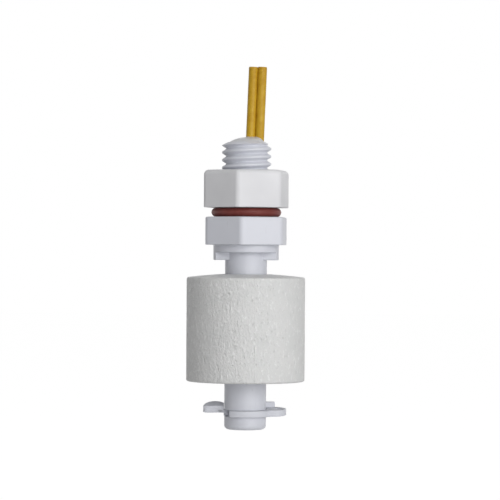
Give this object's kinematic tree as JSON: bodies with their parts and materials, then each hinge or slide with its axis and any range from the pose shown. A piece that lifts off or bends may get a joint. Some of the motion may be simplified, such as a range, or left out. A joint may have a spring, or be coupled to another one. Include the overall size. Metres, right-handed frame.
{
  "type": "float level switch",
  "caption": "Vertical liquid level switch: a foam float slides on a plastic stem with a threaded end, lock nut, seal ring, retaining clip and wire leads.",
  "frame": {"origin": "centre of the hexagon's upper face, which the seal ring rests on, on the axis of the thread", "axes": "+Z along the thread and stem, from the float towards the leads; the camera of the picture looks along +Y, and +X is to its right"},
  "size_m": [0.0234, 0.0234, 0.0715],
  "materials": {
    "stem_plastic": "satin",
    "nut_plastic": "satin",
    "seal_rubber": "satin",
    "float_foam": "matte",
    "magnet_ferrite": "matte",
    "lead_insulation": "satin",
    "lead_copper": "satin",
    "potting_resin": "satin",
    "reed_glass": "gloss",
    "reed_metal": "satin",
    "solder": "satin",
    "sleeve_plastic": "satin",
    "cushion_rubber": "matte"
  },
  "bodies": {
    "switch": {"stem_body": "stem_plastic", "retaining_clip": "stem_plastic", "lead_jacket_left": "lead_insulation", "lead_jacket_right": "lead_insulation", "lead_core_left": "lead_copper", "lead_core_right": "lead_copper", "potting_plug": "potting_resin", "reed_glass": "reed_glass", "reed_blade_upper": "reed_metal", "reed_blade_lower": "reed_metal", "solder_joint_upper": "solder", "solder_joint_lower": "solder", "joint_sleeve_upper": "sleeve_plastic", "joint_sleeve_lower": "sleeve_plastic", "reed_cushion": "cushion_rubber"},
    "magnet": {"magnet_ring": "magnet_ferrite"},
    "float": {"float_body": "float_foam", "magnet_cover": "float_foam"},
    "seal": {"seal_ring": "seal_rubber"},
    "nut": {"lock_nut": "nut_plastic"}
  },
  "joints": [
    {"name": "float_slide", "type": "slide", "parent": "switch", "child": "magnet", "axis": [0, 0, 1], "range_m": [-0.0038, 0.0027]},
    {"name": "float_spin", "type": "hinge", "parent": "magnet", "child": "float", "pos_m": [0, 0, -0.022], "axis": [0, 0, 1], "continuous": true},
    {"name": "nut_turn", "type": "hinge", "parent": "switch", "child": "seal", "pos_m": [0, 0, 0.0009], "axis": [0, 0, 1], "range_deg": [0, 2881]},
    {"name": "nut_rise", "type": "slide", "parent": "seal", "child": "nut", "axis": [0, 0, 1], "range_m": [0, 0.012]}
  ],
  "couplings": [
    {"joint": "nut_turn", "follows": "nut_rise", "rad_per_m": 4188.8}
  ]
}
